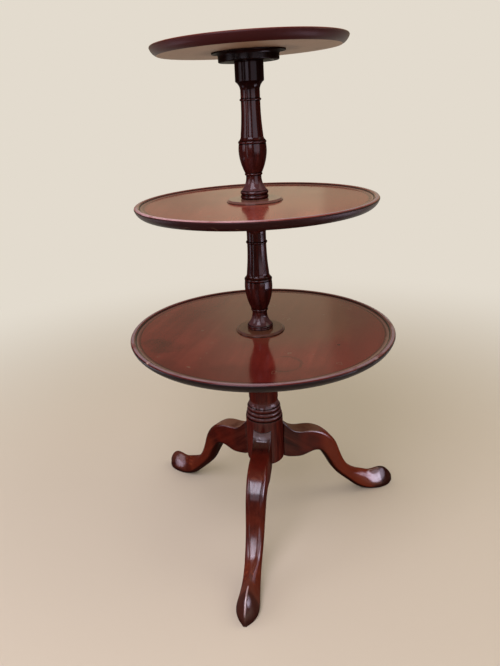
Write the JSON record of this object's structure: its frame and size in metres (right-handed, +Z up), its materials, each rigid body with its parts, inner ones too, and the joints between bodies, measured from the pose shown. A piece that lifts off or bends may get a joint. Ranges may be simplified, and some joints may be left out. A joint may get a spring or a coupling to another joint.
{
  "type": "dumbwaiter table",
  "caption": "Tiered mahogany dumbwaiter table: graduated round dished trays that revolve on a turned baluster column with a cabriole tripod base.",
  "frame": {"origin": "on the column's axis at floor level", "axes": "+Z up along the column; -Y towards the front leg"},
  "size_m": [0.6218, 0.662, 1.139],
  "materials": {
    "tray": "french-polished mahogany, worn glossy",
    "boss": "dark turned mahogany, satin",
    "collar": "polished mahogany",
    "baluster": "french-polished dark mahogany",
    "pillar": "french-polished dark mahogany",
    "leg": "french-polished red-brown mahogany",
    "iron": "dark oxidised wrought iron",
    "screw": "dulled steel"
  },
  "bodies": {
    "base": {"pillar": "pillar", "front_leg": "leg", "right_leg": "leg", "left_leg": "leg", "leg_brace": "iron", "brace_nails": "iron", "lower_baluster": "baluster", "upper_baluster": "baluster"},
    "lower_tray": {"lower_tray": "tray", "lower_tray_boss": "boss", "lower_tray_screws": "screw", "lower_tray_collar": "collar"},
    "middle_tray": {"middle_tray": "tray", "middle_tray_boss": "boss", "middle_tray_screws": "screw", "middle_tray_collar": "collar"},
    "top_tray": {"top_tray": "tray", "top_tray_boss": "boss", "top_tray_screws": "screw"}
  },
  "joints": [
    {"name": "lower_tray_turn", "type": "hinge", "parent": "base", "child": "lower_tray", "pos_m": [0, 0, 0.478], "axis": [0, 0, 1], "continuous": true},
    {"name": "middle_tray_turn", "type": "hinge", "parent": "base", "child": "middle_tray", "pos_m": [0, 0, 0.7835], "axis": [0, 0, 1], "continuous": true},
    {"name": "top_tray_turn", "type": "hinge", "parent": "base", "child": "top_tray", "pos_m": [0, 0, 1.118], "axis": [0, 0, 1], "continuous": true}
  ]
}
